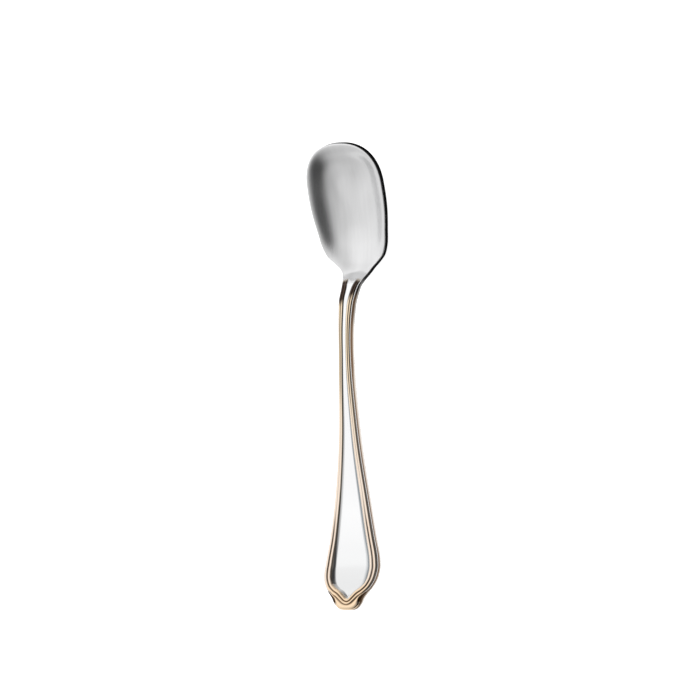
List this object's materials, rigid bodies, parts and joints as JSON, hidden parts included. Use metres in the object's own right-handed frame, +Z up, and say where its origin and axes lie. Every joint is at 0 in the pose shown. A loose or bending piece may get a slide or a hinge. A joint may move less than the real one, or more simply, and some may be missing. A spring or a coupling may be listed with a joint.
{
  "type": "ice cream spoon",
  "caption": "One-piece stamped steel ice cream spoon with a shallow spade bowl, a cranked neck and a beaded scalloped handle end.",
  "frame": {"origin": "on the table under the middle of the spoon's length, half way between the handle's end and the bowl's tip, on the mirror plane", "axes": "+Y from the handle's end to the bowl's tip, +Z up out of the table, +X to the right as one looks along +Y"},
  "size_m": [0.0264, 0.14, 0.0145],
  "materials": {
    "steel": "polished stainless steel, brushed inside the bowl, with gold plating on the beads round the handle"
  },
  "bodies": {
    "root": {"spoon": "steel"}
  },
  "joints": []
}
